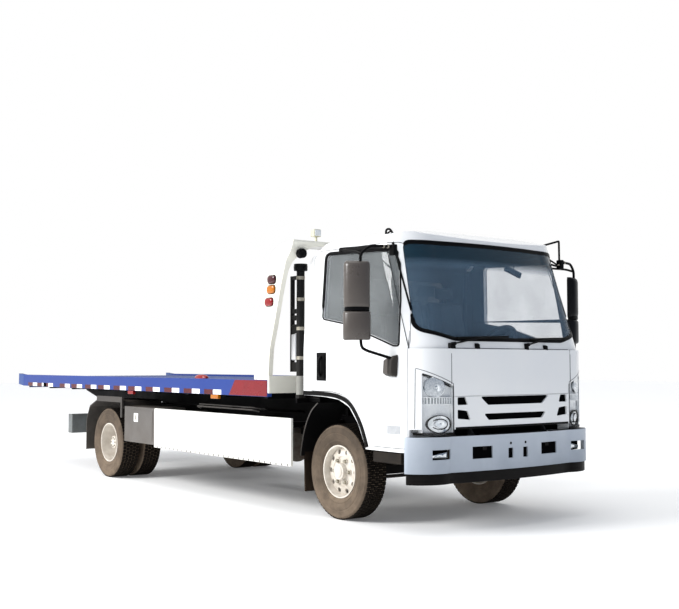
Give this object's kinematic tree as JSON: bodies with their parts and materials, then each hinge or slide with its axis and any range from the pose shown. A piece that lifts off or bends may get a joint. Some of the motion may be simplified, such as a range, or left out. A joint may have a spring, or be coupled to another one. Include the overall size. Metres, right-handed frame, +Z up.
{
  "type": "flatbed tow truck",
  "caption": "Cab-over flatbed tow truck with a tilting, sliding bed, headboard arch, side guards, opening doors, tilting cab and twin rear wheels.",
  "frame": {"origin": "on the floor under the middle of the overall box", "axes": "+X to the front of the truck, +Y to its left, +Z up"},
  "size_m": [8.15, 2.7298, 2.5],
  "materials": {
    "chassis_black": "satin",
    "engine_grey": "matte",
    "spring_steel": "matte",
    "axle_steel": "matte",
    "bumper_silver": "gloss",
    "black_plastic": "matte",
    "mudflap_rubber": "matte",
    "guard_white": "gloss",
    "tool_box_grey": "satin",
    "tank_aluminium": "satin",
    "silencer_steel": "matte",
    "mudguard_black": "matte",
    "tail_bar_grey": "satin",
    "lamp_red": "gloss",
    "cab_white": "gloss",
    "lamp_clear": "gloss",
    "glass_tinted": "gloss",
    "glass_clear": "gloss",
    "seat_cloth": "matte",
    "dash_plastic": "matte",
    "mirror_housing": "satin",
    "rim_cream": "satin",
    "tyre_rubber": "matte",
    "rod_chrome": "polished",
    "bed_blue_floor": "satin",
    "bed_blue": "gloss",
    "arch_white": "gloss",
    "work_lamp_beige": "matte",
    "winch_grey": "satin"
  },
  "bodies": {
    "chassis": {"chassis_frame": "chassis_black", "engine_block": "engine_grey", "drive_shaft": "chassis_black", "front_axle": "chassis_black", "rear_axle": "chassis_black", "leaf_springs": "spring_steel", "bumper": "bumper_silver", "bumper_valance": "black_plastic", "cab_steps": "black_plastic", "front_mudflaps": "mudflap_rubber", "side_guards": "guard_white", "tool_boxes": "tool_box_grey", "fuel_tank": "tank_aluminium", "battery_box": "black_plastic", "silencer": "silencer_steel", "rear_mudguards": "mudguard_black", "tail_bar": "tail_bar_grey", "tail_lamps": "lamp_red", "cab_rest": "chassis_black", "air_intake": "black_plastic"},
    "cab": {"cab_shell": "cab_white", "front_panel": "cab_white", "grille": "cab_white", "headlamps": "lamp_clear", "windscreen": "glass_tinted", "rear_window": "glass_clear", "seats": "seat_cloth", "dashboard": "dash_plastic", "steering_wheel": "dash_plastic", "wipers": "black_plastic"},
    "door_left": {"door_left": "cab_white", "door_glass_left": "glass_clear", "mirrors_left": "mirror_housing"},
    "knuckle_left": {"knuckle_left": "axle_steel"},
    "front_wheel_left": {"front_rim_left": "rim_cream", "front_tyre_left": "tyre_rubber"},
    "rear_wheels_left": {"rear_rims_left": "rim_cream", "rear_tyres_left": "tyre_rubber"},
    "door_right": {"door_right": "cab_white", "door_glass_right": "glass_clear", "mirrors_right": "mirror_housing"},
    "knuckle_right": {"knuckle_right": "axle_steel"},
    "front_wheel_right": {"front_rim_right": "rim_cream", "front_tyre_right": "tyre_rubber"},
    "rear_wheels_right": {"rear_rims_right": "rim_cream", "rear_tyres_right": "tyre_rubber"},
    "tie_rod": {"tie_rod": "axle_steel"},
    "tilt_frame": {"tilt_frame": "chassis_black"},
    "tilt_barrels": {"tilt_barrels": "chassis_black"},
    "tilt_rods": {"tilt_rods": "rod_chrome"},
    "bed": {"bed_floor": "bed_blue_floor", "bed_side_rails": "bed_blue", "headboard_arch": "arch_white", "arch_lamps": "lamp_red", "work_lamps": "work_lamp_beige", "winch": "winch_grey"}
  },
  "joints": [
    {"name": "cab_tilt", "type": "hinge", "parent": "chassis", "child": "cab", "pos_m": [4.005, 0, 0.7], "axis": [0, 1, 0], "range_deg": [0, 45]},
    {"name": "door_left_swing", "type": "hinge", "parent": "cab", "child": "door_left", "pos_m": [3.843, 0.992, 1.4], "axis": [0, 0, -1], "range_deg": [0, 70]},
    {"name": "door_right_swing", "type": "hinge", "parent": "cab", "child": "door_right", "pos_m": [3.843, -0.992, 1.4], "axis": [0, 0, 1], "range_deg": [0, 70]},
    {"name": "steer_left", "type": "hinge", "parent": "chassis", "child": "knuckle_left", "pos_m": [2.885, 0.72, 0.3985], "axis": [0, 0, 1], "range_deg": [-35, 35]},
    {"name": "steer_right", "type": "hinge", "parent": "chassis", "child": "knuckle_right", "pos_m": [2.885, -0.72, 0.3985], "axis": [0, 0, 1], "range_deg": [-35, 35]},
    {"name": "tie_rod_slide", "type": "slide", "parent": "chassis", "child": "tie_rod", "axis": [0, 1, 0], "range_m": [-0.12, 0.12]},
    {"name": "front_left_spin", "type": "hinge", "parent": "knuckle_left", "child": "front_wheel_left", "pos_m": [2.885, 0.8105, 0.3985], "axis": [0, 1, 0], "continuous": true},
    {"name": "front_right_spin", "type": "hinge", "parent": "knuckle_right", "child": "front_wheel_right", "pos_m": [2.885, -0.8105, 0.3985], "axis": [0, 1, 0], "continuous": true},
    {"name": "rear_left_spin", "type": "hinge", "parent": "chassis", "child": "rear_wheels_left", "pos_m": [-1.29, 0.9825, 0.3985], "axis": [0, 1, 0], "continuous": true},
    {"name": "rear_right_spin", "type": "hinge", "parent": "chassis", "child": "rear_wheels_right", "pos_m": [-1.29, -0.9825, 0.3985], "axis": [0, 1, 0], "continuous": true},
    {"name": "bed_tilt", "type": "hinge", "parent": "chassis", "child": "tilt_frame", "pos_m": [-2.765, 0, 0.79], "axis": [0, -1, 0], "range_deg": [0, 12]},
    {"name": "bed_slide", "type": "slide", "parent": "tilt_frame", "child": "bed", "axis": [-1, 0, 0], "range_m": [0, 3.2]},
    {"name": "barrel_swing", "type": "hinge", "parent": "chassis", "child": "tilt_barrels", "pos_m": [-0.515, 0, 0.73], "axis": [0, -1, 0], "range_deg": [-1, 37.96]},
    {"name": "rod_stroke", "type": "slide", "parent": "tilt_barrels", "child": "tilt_rods", "axis": [0.9829, 0, 0.1843], "range_m": [-0.01, 0.2655]}
  ],
  "couplings": [
    {"joint": "steer_right", "follows": "steer_left", "ratio": 1},
    {"joint": "tie_rod_slide", "follows": "steer_left", "m_per_rad": -0.165},
    {"joint": "barrel_swing", "follows": "bed_tilt", "ratio": 3.0803},
    {"joint": "rod_stroke", "follows": "bed_tilt", "m_per_rad": 1.1723}
  ]
}
